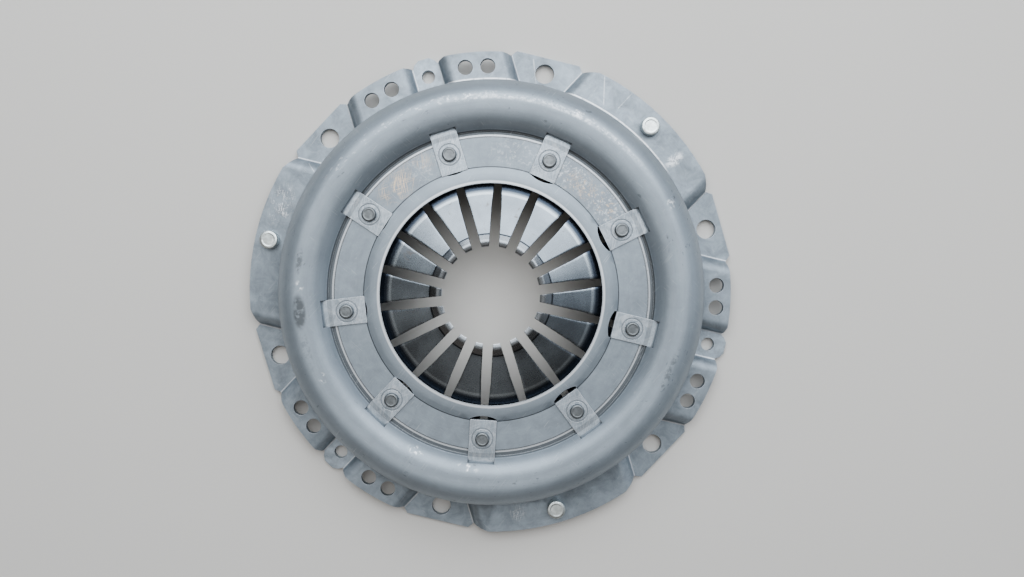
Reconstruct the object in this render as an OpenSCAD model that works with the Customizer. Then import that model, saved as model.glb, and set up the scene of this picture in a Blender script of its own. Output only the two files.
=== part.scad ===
/* [Cover pressing] */
// Thickness of the steel sheet
sheet = 2.8; // [2.4:0.1:3.2]
// Height of the raised flange above the mounting pads
flange_rise = 5.7; // [5.4:0.1:6.4]
// Outside radius of the skirt wall
skirt_r = 97.2; // [96:0.1:98]
// Height where the skirt stops being straight
skirt_straight_z = 12; // [11:0.5:13]
// How far the skirt leans inward up to the crown
skirt_draft = 1.2; // [0.8:0.1:2]
// Top of the skirt and crown above the mounting face
crown_z = 32.6; // [31:0.2:35]
// Bend radius where the skirt begins to lean
skirt_bend = 20; // [16:1:24]
// Bend radius of the crown's outer shoulder
shoulder_bend = 12; // [11:0.5:14]
// Bend radius of the crown's inner side, down to the wall
brow_bend = 12; // [8:0.5:13]
// Inside radius of the sheet's tight bends
tight_bend = 0.8; // [0.6:0.1:1]
// Drop of the crown from the shoulder to the brow
crown_fall = 0.2; // [0:0.1:1]
// Radius of the brow, where the lines of the crown and the inner wall meet
brow_r = 77.3; // [76:0.1:78]
// Radius of the inner wall's foot
foot_r = 73.1; // [72.6:0.1:74]
// Height of the web's front face
web_z = 26; // [25:0.2:27]
// Radius of the bend between web and lip
lip_bend_r = 57.3; // [57:0.1:58]
// Radial width of the lip's rounded edge
lip_edge = 3.4; // [3:0.1:4]
// Height of the lip above the web
lip_rise = 2.8; // [2.4:0.1:3.4]
// Drop from the lip's crest to its edge
lip_drop = 0.9; // [0.5:0.1:1.2]
// Radius of the central opening
mouth_r = 49.7; // [48.6:0.1:50.6]
// Inside bend radius of the flange at the skirt
foot_fillet = 1.4; // [0.8:0.1:1.6]

/* [Flange outline] */
// Outside radius of the long raised stretches
long_r = 114; // [113:0.1:115]
// Outside radius of the raised stretches with balance holes
short_r = 112.3; // [111.6:0.1:113]
// Outside radius at the corners of the bolt pads
pad_corner_r = 114.4; // [113.6:0.1:115]
// Outside radius at the tip of the dowel pads
dowel_tip_r = 114.5; // [113.5:0.1:115.5]
// Radius of the notches beside the pads
notch_r = 111.8; // [111:0.1:112.2]

/* [Pads and holes] */
// Angle of the first dowel, counter-clockwise from +X
first_dowel = 106.4; // [0:0.2:119.8]
// Pitch circle of the bolts and dowels
bolt_pcd = 212; // [210:0.5:213]
// Bolt hole diameter
bolt_hole_d = 9; // [8.4:0.1:9.4]
// Dowel hole diameter
dowel_hole_d = 6.2; // [6:0.1:6.6]
// Pitch circle of the balance holes
balance_pcd = 211.2; // [210:0.2:212]
// Balance hole diameter
balance_hole_d = 7; // [5:0.1:7.2]
// Angle from a dowel to its nearer balance hole
balance_near = 9.75; // [9.5:0.05:10]
// Angle from a dowel to its farther balance hole
balance_far = 15.45; // [15.2:0.05:15.7]
// Distance of a bolt pad's edge from the middle line of the stretch beside it
pad_edge = 40.9; // [40.4:0.1:41.4]
// Angle of the bends beside a bolt pad
pad_bend_angle = 65; // [62:1:68]
// Half width of a dowel pad
dowel_half = 6; // [5.6:0.1:6.4]
// Angle of the bends beside a dowel pad
dowel_bend_angle = 80; // [76:1:80]
// Bend radius of the sheet's middle at the foot of a raised stretch
low_bend = 2; // [1.9:0.1:2.2]
// Bend radius of the sheet's middle at the shoulder of a raised stretch
high_bend = 4; // [3.6:0.1:4.2]

/* [Web details] */
// Angle of the first fulcrum rivet, counter-clockwise from +X
first_rivet = 26.4; // [20:0.2:32]
// Radius of the fulcrum rivet circle
rivet_r = 65; // [64.6:0.1:65.4]
// Width of a rivet tab
tab_w = 12; // [11:0.2:13]
// Radius where a rivet tab ends in the wall
tab_wall_r = 75.8; // [75:0.1:76]
// Radius of a rivet tab's sheared end
tab_end_r = 56.5; // [56:0.1:57]
// Height of a rivet tab above the web
tab_rise = 1; // [0.6:0.1:1.4]
// Reach of the slots at the tabs' ends, on average
slot_reach = 1.4; // [1.2:0.1:1.6]
// How far the slots' punch stands off centre
slot_shift = 1; // [0:0.1:1]
// Direction in which the slots' punch stands off centre
slot_shift_angle = -30; // [-60:5:0]
// Radius of the slots' rounded edge
slot_round = 13.5; // [12:0.5:16]
// Inner radius of the groove at the wall's foot
groove_r = 70.4; // [70:0.1:71]
// Depth of the groove
groove_depth = 0.6; // [0.3:0.1:0.9]
// Inside radius of the coined mark round a rivet
coin_r = 4.4; // [4:0.1:4.6]
// Width of the coined mark
coin_w = 0.6; // [0.4:0.1:0.8]
// Depth of the coined mark
coin_depth = 0.25; // [0.1:0.05:0.4]

/* [Skirt windows] */
// Angle from a strap rivet to its window's middle
window_turn = 10.65; // [10:0.05:11.5]
// Width of a window as an angle
window_angle = 9.5; // [8:0.5:10]
// Top of a window above the mounting face
window_z = 10; // [9.4:0.1:11]
// How far a window cuts into the flange
window_cut = 2; // [1.6:0.1:2.4]

/* [Diaphragm spring] */
// Thickness of the spring steel
spring_t = 2.2; // [1.9:0.1:2.3]
// Cone angle of the unloaded spring
cone = 12.5; // [12:0.1:13]
// Outside radius of the spring
rim_r = 86.5; // [86:0.1:87]
// Radius of the bend near the fingertips
kink_r = 27.1; // [26.6:0.1:27.6]
// Radius of the fingertips' crest
crest_r = 24; // [23.8:0.1:24.4]
// Radius of the circle that the fingertips leave open
tip_r = 21.6; // [21:0.1:22]
// Rise of a fingertip's crest above its bend
crest_rise = 1.7; // [1.4:0.1:2]
// Drop from a fingertip's crest to its end
tip_drop = 0.5; // [0.3:0.1:0.8]
// Number of fingers
fingers = 18; // [18]
// Width of the slots at the fingertips
tip_slot_w = 4.4; // [4:0.1:4.8]
// Width of the slots under the cover
root_slot_w = 3.5; // [3.2:0.1:3.8]
// Radius where the slots begin to narrow
slot_wide_r = 40; // [38:0.5:42]
// Radius where the slots reach their narrow width
slot_narrow_r = 49; // [47:0.5:51]
// Width of the window at a slot's end
eye_w = 8.4; // [8:0.1:8.8]
// Length of the window at a slot's end
eye_len = 11.4; // [11:0.1:12]
// How far the middle of a window lies outside the rivet circle
eye_ahead = 1.3; // [1:0.1:1.5]

/* [Fulcrum] */
// Wire diameter of the fulcrum rings
ring_wire = 3; // [2.8:0.1:3.2]
// Radius of the fulcrum rings
ring_r = 69; // [68.8:0.1:69.2]
// Shank diameter of a fulcrum rivet
rivet_shank_d = 5; // [4.6:0.1:5.2]
// Front head diameter of a fulcrum rivet
rivet_head_d = 6.4; // [6.2:0.1:7]
// Front head height of a fulcrum rivet
rivet_head_h = 2.2; // [1.8:0.1:2.6]
// Rear head diameter of a fulcrum rivet
rivet_foot_d = 10.4; // [10:0.1:10.8]
// Rear head height of a fulcrum rivet
rivet_foot_h = 1.8; // [1.6:0.1:1.9]
// Depth of the hollow in a rivet's front head
head_hollow = 0.2; // [0.1:0.05:0.3]
// Width of the rim round the hollow
head_rim = 1; // [0.7:0.1:1.1]

/* [Pressure plate] */
// Height of the friction face above the mounting face, spring unloaded
face_z = 4.4; // [4:0.1:4.8]
// Inside radius of the friction face
face_in_r = 61; // [60:0.5:62]
// Outside radius of the plate
plate_r = 90; // [89.6:0.1:90.4]
// Thickness of the plate at its rim
plate_t = 6.8; // [6.6:0.1:7.2]
// Thickness of the plate under the rivets
inner_t = 4.4; // [4:0.1:4.4]
// Outside radius of the thin stretch under the rivets
inner_r = 73.5; // [73:0.1:74]
// Radius of the ridge that carries the spring
ridge_r = 83; // [82.6:0.1:83.2]
// Width of the ridge at its foot
ridge_w = 3.6; // [3.2:0.1:3.8]
// Radius of the ridge's rounded top
ridge_round = 1.2; // [1:0.1:1.4]
// Chamfer on the friction face's edges
face_chamfer = 0.6; // [0.3:0.1:1]
// Outside radius of the lugs
lug_r = 93.2; // [92.8:0.1:93.4]
// Height of a lug's strap seat above the friction face
seat_rise = 3; // [2.9:0.1:3.2]

/* [Drive straps] */
// Thickness of one leaf
leaf_t = 0.5; // [0.4:0.02:0.5]
// Width of a leaf
leaf_w = 9; // [8.4:0.1:9.4]
// Length of the step down which a leaf bends to its lug
step_run = 6.6; // [6.2:0.1:7]
// Flat length of a leaf between its step and the lug rivet's head
step_clear = 1; // [0.8:0.1:1.2]
// Length over which a leaf narrows to pass into the skirt
neck_run = 8; // [6:0.5:9]
// Radius of the strap rivets in the flange
strap_r = 106.8; // [106:0.1:107.4]
// Radius of the strap rivets in the lugs
lug_rivet_r = 88.6; // [88.4:0.1:88.8]
// Angle from a strap's flange rivet to its lug rivet
strap_turn = 19.8; // [19.4:0.1:20.2]
// Shank diameter of a flange rivet
strap_shank_d = 6; // [5.6:0.1:6.4]
// Head diameter of a flange rivet
strap_head_d = 8.6; // [8.4:0.1:9]
// Height of a flange rivet's front head
strap_head_h = 3.5; // [2.6:0.1:4]
// Height of a flange rivet's rear head
strap_foot_h = 1.5; // [1.2:0.1:1.8]
// Shank diameter of a lug rivet
lug_shank_d = 4.6; // [4.2:0.1:4.8]
// Head diameter of a lug rivet
lug_head_d = 5.8; // [5.6:0.1:6]
// Height of a lug rivet's heads
lug_head_h = 1.1; // [0.9:0.1:1.2]

/* [Retractor clips] */
// Thickness of a clip
clip_t = 1; // [0.8:0.1:1.1]
// Width of a clip's hook
clip_w = 5; // [4:0.5:6]
// Distance of the hook from the lug rivet
clip_side = 9.5; // [9:0.1:10]

/* [Fits] */
// Clearance between the rings and what they touch
seat_gap = 0.02; // [0.01:0.01:0.05]
// Clearance of a rivet in its hole
hole_gap = 0.05; // [0.02:0.01:0.1]
// Clearance of the straps in the plate and skirt
strap_gap = 0.8; // [0.6:0.1:1]

/* [Hidden] */
$fn = 96;
eps = 0.05;

strap_count = 3;
bolt_count = 6;
rivet_count = 9;
unit_turn = 360 / strap_count;
bolt_turn = 180 / bolt_count;
rivet_turn = 360 / rivet_count;
finger_turn = 360 / fingers;
bolt_r = bolt_pcd / 2;
balance_r = balance_pcd / 2;

flange_top = flange_rise + sheet;
skirt_in = skirt_r - sheet;
web_under = web_z - sheet;
tab_top = web_z + tab_rise;
reach = 140;

// Points and directions in a plane
function unit(v) = v / norm(v);
function left_of(v) = [-v[1], v[0]];
function cross2(a, b) = a[0] * b[1] - a[1] * b[0];

// A corner of a line moved sideways by d, to the left where d is positive
function shifted_corner(a, b, c, d) =
    let (m = left_of(unit(b - a)), n = left_of(unit(c - b)))
    b + d * (m + n) / (1 + m * n);
function shifted(path, d) = [
    for (i = [0 : len(path) - 1])
        i == 0 ? path[0] + d * left_of(unit(path[1] - path[0]))
        : i == len(path) - 1 ? path[i] + d * left_of(unit(path[i] - path[i - 1]))
        : shifted_corner(path[i - 1], path[i], path[i + 1], d)
];

// The arc that rounds corner b, as points about step degrees apart
fine_step = 6;
flange_step = 14;
function corner_arc(a, b, c, r, step) =
    let (
        u = unit(b - a), v = unit(c - b),
        side = sign(cross2(u, v)),
        turn = acos(max(-1, min(1, u * v))),
        start = b - u * r * tan(turn / 2),
        centre = start + side * r * left_of(u),
        steps = max(1, ceil(turn / step)),
        from = atan2(start[1] - centre[1], start[0] - centre[0])
    )
    turn < 0.01 ? [b]
    : [for (i = [0 : steps]) let (t = from + side * turn * i / steps) centre + r * [cos(t), sin(t)]];
function bend_side(path, i) =
    sign(cross2(path[i] - path[i - 1], path[i + 1] - path[i]));

// A bent line: path with its corners rounded by radii, moved sideways by d
function bent(path, radii, d, step) =
    let (p = shifted(path, d), n = len(path) - 1)
    [
        p[0],
        for (i = [1 : n - 1])
            each corner_arc(p[i - 1], p[i], p[i + 1], radii[i] - d * bend_side(path, i), step),
        p[n]
    ];
function reversed(list) = [for (i = [len(list) - 1 : -1 : 0]) list[i]];

// The closed outline of a strip between two sideways distances from a bent line
function strip(path, radii, d_from, d_to) =
    concat(bent(path, radii, d_from, fine_step), reversed(bent(path, radii, d_to, fine_step)));

// Section of the cover from the skirt to the lip, as the line of its front face
cover_path = [
    [skirt_r, 0],
    [skirt_r, skirt_straight_z],
    [skirt_r - skirt_draft, crown_z],
    [brow_r, crown_z - crown_fall],
    [foot_r, web_z],
    [lip_bend_r, web_z],
    [mouth_r + lip_edge, web_z + lip_rise],
    [mouth_r, web_z + lip_rise - lip_drop]
];
// The brow's bend is limited by its wall and by what the shoulder leaves of the crown
wall_rise = crown_z - crown_fall - web_z;
wall_turn = atan2(wall_rise, brow_r - foot_r);
wall_length = norm([brow_r - foot_r, wall_rise]);
brow_room = min(wall_length, skirt_r - skirt_draft - brow_r - shoulder_bend);
brow_arc = min(brow_bend, brow_room / tan(wall_turn / 2) - tight_bend / 4);
cover_bends = [
    0, skirt_bend, shoulder_bend, brow_arc, tight_bend, 2 * tight_bend, sheet + tight_bend, 0
];

// An S-bend of the sheet climbs from a pad to the raised flange, at its steepest by angle
function s_width(angle) =
    (flange_rise - (low_bend + high_bend) * (1 - cos(angle))) / tan(angle)
    + (low_bend + high_bend) * sin(angle);
function low_corner(angle) = low_bend * tan(angle / 2);
function high_corner(angle) = high_bend * tan(angle / 2);

// Middle line of the sheet across a raised stretch, from pad to pad, and its bend radii
pad_mid = sheet / 2;
raised_mid = flange_rise + sheet / 2;
pad_bend_w = s_width(pad_bend_angle);
dowel_bend_w = s_width(dowel_bend_angle);
stretch_radii = [0, low_bend, high_bend, high_bend, low_bend, 0];
function stretch_line(y_from, from_angle, y_to, to_angle) = [
    [y_from, pad_mid],
    [y_from + low_corner(from_angle), pad_mid],
    [y_from + s_width(from_angle) - high_corner(from_angle), raised_mid],
    [y_to - s_width(to_angle) + high_corner(to_angle), raised_mid],
    [y_to - low_corner(to_angle), pad_mid],
    [y_to, pad_mid]
];
long_line = stretch_line(-pad_edge, pad_bend_angle, pad_edge, pad_bend_angle);
short_line = stretch_line(dowel_half, dowel_bend_angle, pad_edge, pad_bend_angle);
raised_to = pad_edge - pad_bend_w;
raised_from = dowel_half + dowel_bend_w;

// Section of all that lies under a line moved sideways by d, from z_low, with tapered ends
end_lap = 0.5;
end_drop = 0.1;
function below(line, d, z_low) =
    let (z_end = line[0][1] + d - end_drop, y_from = line[0][0] - end_lap, y_to = line[5][0] + end_lap)
    concat([[y_from, z_low], [y_from, z_end]], bent(line, stretch_radii, d, flange_step), [[y_to, z_end], [y_to, z_low]]);

// Outer outline of the flange, from a dowel to the middle of the next long stretch
tip_half = 1.3;
dowel_corner = 2.4;
dowel_notch = 3.1;
short_from = 5;
short_to = 19;
pad_notch_in = 20.9;
pad_from = 22.4;
pad_to = 37.6;
pad_notch_out = 38.9;
long_from = 42.6;
dowel_corner_r = dowel_tip_r - 1.4;
outline_half = [
    [0, dowel_tip_r], [tip_half, dowel_tip_r], [dowel_corner, dowel_corner_r], [dowel_notch, notch_r - 0.6],
    [short_from, short_r], for (a = [short_from + 2 : 2 : short_to]) [a, short_r],
    [pad_notch_in, notch_r], [pad_from, pad_corner_r], [pad_to, pad_corner_r], [pad_notch_out, notch_r],
    [long_from, long_r], for (a = [long_from + 2.4 : 3 : bolt_turn * 2]) [a, long_r]
];
function polar(a, r) = r * [cos(a), sin(a)];
module flange_outline() {
    half = outline_half;
    back = [for (i = [len(half) - 1 : -1 : 1]) [-half[i][0], half[i][1]]];
    polygon([
        for (k = [0 : strap_count - 1])
            for (p = concat(back, half)) polar(first_dowel + unit_turn * k + p[0], p[1])
    ]);
}

module at_stretches(turn) {
    for (k = [0 : strap_count - 1])
        rotate(first_dowel + unit_turn * k + turn) children();
}

// Sections drawn out along the middle lines of all raised stretches
pad_near = skirt_in - 4;
module drawn_out(points) {
    translate([pad_near, 0, 0])
        rotate([90, 0, 90])
            linear_extrude(reach - pad_near) polygon(points);
}
module all_stretches(d, z_low) {
    at_stretches(unit_turn / 2) drawn_out(below(long_line, d, z_low));
    at_stretches(0)
        for (m = [0, 1])
            mirror([0, m, 0]) drawn_out(below(short_line, d, z_low));
}

module flange() {
    intersection() {
        translate([0, 0, -sheet])
            linear_extrude(flange_top + 2 * sheet)
                difference() {
                    flange_outline();
                    circle(skirt_r - sheet / 2);
                }
        difference() {
            union() {
                cylinder(r = reach - sheet, h = sheet);
                all_stretches(sheet / 2, sheet / 2);
            }
            all_stretches(-sheet / 2, -sheet);
        }
    }
}

// Rounded inside corner between skirt and flange, over a stretch from y_from to y_to
module foot_fillet_piece(z, y_from, y_to) {
    intersection() {
        translate([0, 0, z])
            rotate_extrude()
                translate([skirt_r, 0])
                    polygon(foot_fillet * [
                        [-0.5, -0.5], [1.1, -0.5], [1.1, -0.07], [0.3, 0.3], [-0.07, 1.1], [-0.5, 1.1]
                    ]);
        translate([pad_near, y_from, 0])
            cube([reach - pad_near, y_to - y_from, z + 2 * foot_fillet]);
    }
}

module ring(r_in, r_out) {
    difference() {
        circle(r_out);
        circle(r_in);
    }
}

// Sector of a ring about +X
module ring_sector(r_in, r_out, half_angle) {
    intersection() {
        ring(r_in, r_out);
        polygon([[0, 0], polar(-half_angle, reach), polar(half_angle, reach)]);
    }
}

module cover_shell() {
    difference() {
        rotate_extrude()
            polygon(strip(cover_path, cover_bends, 0, sheet));
        translate([0, 0, -sheet]) cylinder(r = reach, h = sheet + pad_mid);
        all_stretches(0, 0);
    }
    flange();
    at_stretches(0)
        for (m = [0, 1])
            mirror([0, m, 0]) foot_fillet_piece(flange_top, raised_from + 0.3, raised_to - 0.3);
    at_stretches(unit_turn / 2) foot_fillet_piece(flange_top, 0.3 - raised_to, raised_to - 0.3);
}

// A rivet tab stands above the web, and its flat top runs on into the wall
module rivet_tabs() {
    for (i = [0 : rivet_count - 1])
        rotate(first_rivet + rivet_turn * i)
            translate([tab_end_r, -tab_w / 2, web_under + tab_rise])
                cube([tab_wall_r - tab_end_r + eps, tab_w, 1.5 * sheet]);
}
module above_tabs() {
    for (i = [0 : rivet_count - 1])
        rotate(first_rivet + rivet_turn * i)
            translate([tab_end_r - eps, -tab_w / 2 - eps, tab_top])
                cube([tab_wall_r - tab_end_r + eps, tab_w + 2 * eps, crown_z]);
}

// What is cut round each fulcrum rivet: its hole, coined mark, hollow back and end slot
function slot_depth(turn) = slot_reach + slot_shift * cos(turn - slot_shift_angle);
module rivet_place_cuts() {
    for (i = [0 : rivet_count - 1])
        rotate(first_rivet + rivet_turn * i) {
            depth = slot_depth(first_rivet + rivet_turn * i);
            translate([rivet_r, 0, 0]) cylinder(d = rivet_shank_d + 2 * hole_gap, h = crown_z);
            translate([rivet_r, 0, tab_top - coin_depth])
                difference() {
                    cylinder(r = coin_r + coin_w, h = sheet);
                    translate([0, 0, -eps]) cylinder(r = coin_r, h = sheet + 2 * eps);
                }
            translate([tab_end_r - eps, -tab_w / 2 + sheet / 2, web_under - eps])
                cube([foot_r - 1 - tab_end_r, tab_w - sheet, tab_rise + eps]);
            intersection() {
                translate([tab_end_r - depth + slot_round, 0, web_under - sheet])
                    cylinder(r = slot_round, h = 4 * sheet);
                translate([tab_end_r - sheet, -tab_w / 2, web_under - sheet])
                    cube([sheet, tab_w, 4 * sheet]);
            }
        }
}

module flange_holes() {
    for (i = [0 : bolt_count - 1])
        rotate(first_dowel + bolt_turn * (2 * i + 1))
            translate([bolt_r, 0, -eps]) cylinder(d = bolt_hole_d, h = flange_top);
    for (i = [0 : strap_count - 1])
        rotate(first_dowel + unit_turn * i) {
            translate([bolt_r, 0, -eps]) cylinder(d = dowel_hole_d, h = flange_top);
            for (a = [-balance_far, -balance_near, balance_near, balance_far])
                rotate(a)
                    translate([balance_r, 0, 0]) cylinder(d = balance_hole_d, h = flange_top + eps);
            rotate(-unit_turn / 2) {
                translate([strap_r, 0, 0])
                    cylinder(d = strap_shank_d + 2 * hole_gap, h = flange_top + eps);
                rotate(-window_turn)
                    linear_extrude(window_z)
                        ring_sector(skirt_in - sheet, skirt_r + window_cut, window_angle / 2);
            }
        }
}

module cover() {
    color("lightslategray")
        difference() {
            union() {
                difference() {
                    cover_shell();
                    translate([0, 0, web_z - groove_depth])
                        rotate_extrude()
                            translate([groove_r, 0]) square([foot_r - 0.3 - groove_r, sheet]);
                }
                rivet_tabs();
            }
            above_tabs();
            rivet_place_cuts();
            flange_holes();
        }
}

// The fulcrum: a wire ring on each side of the spring, held by the rivets
front_ring_z = web_under - ring_wire / 2 - seat_gap;
ring_lift = (ring_wire / 2 + seat_gap) / cos(cone);
spring_drop = spring_t / cos(cone);
spring_top_at_ring = front_ring_z - ring_lift;
rear_ring_z = spring_top_at_ring - spring_drop - ring_lift;
rivet_foot_top = rear_ring_z - ring_wire / 2 - seat_gap;
function spring_top(r) = spring_top_at_ring + (ring_r - r) * tan(cone);
function spring_under(r) = spring_top(r) - spring_drop;

spring_path = [
    [rim_r, spring_top(rim_r)],
    [kink_r, spring_top(kink_r)],
    [crest_r, spring_top(kink_r) + crest_rise],
    [tip_r, spring_top(kink_r) + crest_rise - tip_drop]
];
spring_bends = [0, 2 * tight_bend, spring_t + tight_bend, 0];

module finger_slot() {
    half_tip = tip_slot_w / 2;
    half_root = root_slot_w / 2;
    linear_extrude(crown_z + sheet) {
        polygon([
            [0, -half_tip], [slot_wide_r, -half_tip], [slot_narrow_r, -half_root], [rivet_r, -half_root],
            [rivet_r, half_root], [slot_narrow_r, half_root], [slot_wide_r, half_tip], [0, half_tip]
        ]);
        eye_half = (eye_len - eye_w) / 2;
        eye_r = rivet_r + eye_ahead;
        for (s = [-1, 1])
            translate([eye_r + s * eye_half, 0]) circle(d = eye_w);
        translate([eye_r - eye_half, -eye_w / 2]) square([2 * eye_half, eye_w]);
    }
}

module diaphragm_spring() {
    color("dimgray")
        difference() {
            rotate_extrude() polygon(strip(spring_path, spring_bends, 0, spring_t));
            for (i = [0 : fingers - 1])
                rotate(first_rivet + finger_turn * i) finger_slot();
        }
}

module wire_ring(z) {
    color("silver")
        rotate_extrude() translate([ring_r, z]) circle(d = ring_wire, $fn = 32);
}

// A headed pin along +Z, its front head chamfered and slightly hollow
module headed(foot_d, foot_h, shank_d, grip, head_d, head_h, chamfer) {
    rotate_extrude()
        polygon([
            [0, -foot_h], [foot_d / 2 - chamfer, -foot_h], [foot_d / 2, -foot_h + chamfer], [foot_d / 2, 0],
            [shank_d / 2, 0], [shank_d / 2, grip], [head_d / 2, grip], [head_d / 2, grip + head_h - chamfer],
            [head_d / 2 - chamfer, grip + head_h], [head_d / 2 - head_rim, grip + head_h],
            [head_d / 2 - head_rim - head_hollow, grip + head_h - head_hollow], [0, grip + head_h - head_hollow]
        ]);
}

module fulcrum_rivet(i) {
    color("gray")
        rotate(first_rivet + rivet_turn * (i - 1))
            translate([rivet_r, 0, rivet_foot_top])
                headed(rivet_foot_d, rivet_foot_h, rivet_shank_d, tab_top - rivet_foot_top,
                       rivet_head_d, rivet_head_h, 0.4);
}

// A drive strap runs from its flange rivet inward under the skirt to its lug rivet
function strap_angle(i) = first_dowel - unit_turn / 2 + unit_turn * (i - 1);
strap_from = [strap_r, 0];
strap_to = polar(-strap_turn, lug_rivet_r);
strap_len = norm(strap_to - strap_from);
strap_dir = atan2(strap_to[1] - strap_from[1], strap_to[0] - strap_from[0]);
seat_z = face_z + seat_rise;
pack_t = 3 * leaf_t;
step_to = strap_len - lug_head_d / 2 - step_clear;
step_from = step_to - step_run;
leaf_path = [
    [-leaf_w, flange_rise], [step_from, flange_rise], [step_to, seat_z], [strap_len + leaf_w, seat_z]
];
leaf_bends = [0, 3, 3, 0];

module at_strap(i) {
    rotate(strap_angle(i)) children();
}
module along_strap(i) {
    at_strap(i) translate(strap_from) rotate(strap_dir) children();
}

// Plan of a strap, widened by extra, from distance near onward
module strap_plan(extra, near) {
    intersection() {
        union() {
            circle(d = leaf_w + 2 * extra);
            translate([strap_len, 0]) circle(d = leaf_w + 2 * extra);
            translate([0, -leaf_w / 2 - extra]) square([strap_len, leaf_w + 2 * extra]);
        }
        translate([near, -reach]) square(2 * reach);
    }
}

// Outline of a leaf: its outer side narrows before the step, and then follows the skirt's inside
neck_centre = strap_r * [-cos(strap_dir), sin(strap_dir)];
neck_half = neck_centre[1] + sqrt(pow(skirt_in - strap_gap, 2) - pow(step_from - neck_centre[0], 2));
module leaf_plan() {
    difference() {
        strap_plan(0, -reach);
        polygon([
            [step_from - neck_run, leaf_w / 2], [step_from, neck_half], [step_from, leaf_w],
            [step_from - neck_run, leaf_w]
        ]);
        difference() {
            translate([step_from, 0]) square(reach);
            translate(neck_centre) circle(skirt_in - strap_gap);
        }
    }
}

module strap_leaf(i, layer) {
    color("lightsteelblue")
        difference() {
            intersection() {
                along_strap(i)
                    translate([0, leaf_w, 0])
                        rotate([90, 0, 0])
                            linear_extrude(2 * leaf_w)
                                polygon(strip(leaf_path, leaf_bends, -layer * leaf_t, -(layer + 1) * leaf_t));
                along_strap(i) linear_extrude(crown_z) leaf_plan();
            }
            along_strap(i) {
                cylinder(d = strap_shank_d + 2 * hole_gap, h = crown_z);
                translate([strap_len, 0, 0]) cylinder(d = lug_shank_d + 2 * hole_gap, h = crown_z);
            }
        }
}

module strap_flange_rivet(i) {
    color("gainsboro")
        along_strap(i)
            translate([0, 0, flange_rise - pack_t])
                headed(strap_head_d, strap_foot_h, strap_shank_d, pack_t + sheet,
                       strap_head_d, strap_head_h, 0.5);
}

lug_top = face_z + plate_t;
module strap_lug_rivet(i) {
    color("silver")
        along_strap(i)
            translate([strap_len, 0, seat_z - pack_t])
                headed(lug_head_d, lug_head_h, lug_shank_d, pack_t + lug_top + clip_t - seat_z,
                       lug_head_d, lug_head_h, 0.3);
}

// Pressure plate: a cast ring with a ridge for the spring and three lugs
ridge_top = spring_under(ridge_r) - seat_gap;
ridge_centre = ridge_top - ridge_round / cos(cone);
plate_section = [
    [face_in_r + face_chamfer, face_z], [plate_r - face_chamfer, face_z], [plate_r, face_z + face_chamfer],
    [plate_r, lug_top], [ridge_r + ridge_w / 2, lug_top], [ridge_r + ridge_round, ridge_centre],
    [ridge_r - ridge_round, ridge_centre], [ridge_r - ridge_w / 2, lug_top], [inner_r + 1.5, lug_top],
    [inner_r, face_z + inner_t], [face_in_r, face_z + inner_t], [face_in_r, face_z + face_chamfer]
];
lug_margin = 1.5;
lug_back = leaf_w / 2 + lug_margin + eps;
lug_ahead = clip_side + clip_w / 2 + lug_margin;

// The frame of a lug: +X out along the lug rivet's radius
module at_lug(i) {
    at_strap(i) rotate(-strap_turn) children();
}
module lug(i) {
    linear_extrude(lug_top)
        intersection() {
            circle(lug_r);
            at_lug(i) translate([ridge_r, -lug_back]) square([lug_r, lug_back + lug_ahead]);
        }
}
module pressure_plate() {
    color("darkgray")
        difference() {
            union() {
                rotate_extrude() polygon(plate_section);
                rotate_extrude() translate([ridge_r, ridge_centre]) circle(ridge_round, $fn = 32);
                difference() {
                    for (i = [1 : strap_count]) lug(i);
                    translate([0, 0, -eps]) cylinder(r = ridge_r + ridge_w / 2, h = lug_top);
                    translate([0, 0, -eps]) cylinder(r = reach, h = seat_z + eps);
                }
            }
            for (i = [1 : strap_count]) {
                linear_extrude(seat_z) along_strap(i) strap_plan(strap_gap, 0);
                along_strap(i)
                    translate([strap_len, 0, 0]) cylinder(d = lug_shank_d + 2 * hole_gap, h = crown_z);
            }
        }
}

// A retractor clip: a base under the lug rivet's head, a leg and a hook over the spring's rim
clip_rim = 0.9;
clip_in = ridge_r + ridge_w / 2 + clip_t / 2;
clip_out = lug_rivet_r + lug_head_d / 2 + clip_rim;
leg_in = sqrt(pow(rim_r, 2) - pow(clip_side - clip_w / 2, 2)) + 0.6;
hook_z = spring_top(ridge_r) + 0.1;
module retractor_clip(i) {
    color("slategray")
        at_lug(i)
            difference() {
                union() {
                    translate([clip_in, -lug_head_d / 2 - clip_rim, lug_top])
                        cube([clip_out - clip_in, clip_side + clip_w / 2 + lug_head_d / 2 + clip_rim, clip_t]);
                    translate([leg_in, clip_side - clip_w / 2, lug_top])
                        cube([clip_t, clip_w, hook_z + clip_t - lug_top]);
                    translate([ridge_r, clip_side - clip_w / 2, hook_z])
                        cube([leg_in + clip_t - ridge_r, clip_w, clip_t]);
                }
                translate([lug_rivet_r, 0, 0]) cylinder(d = lug_shank_d + 2 * hole_gap, h = crown_z);
            }
}

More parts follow.
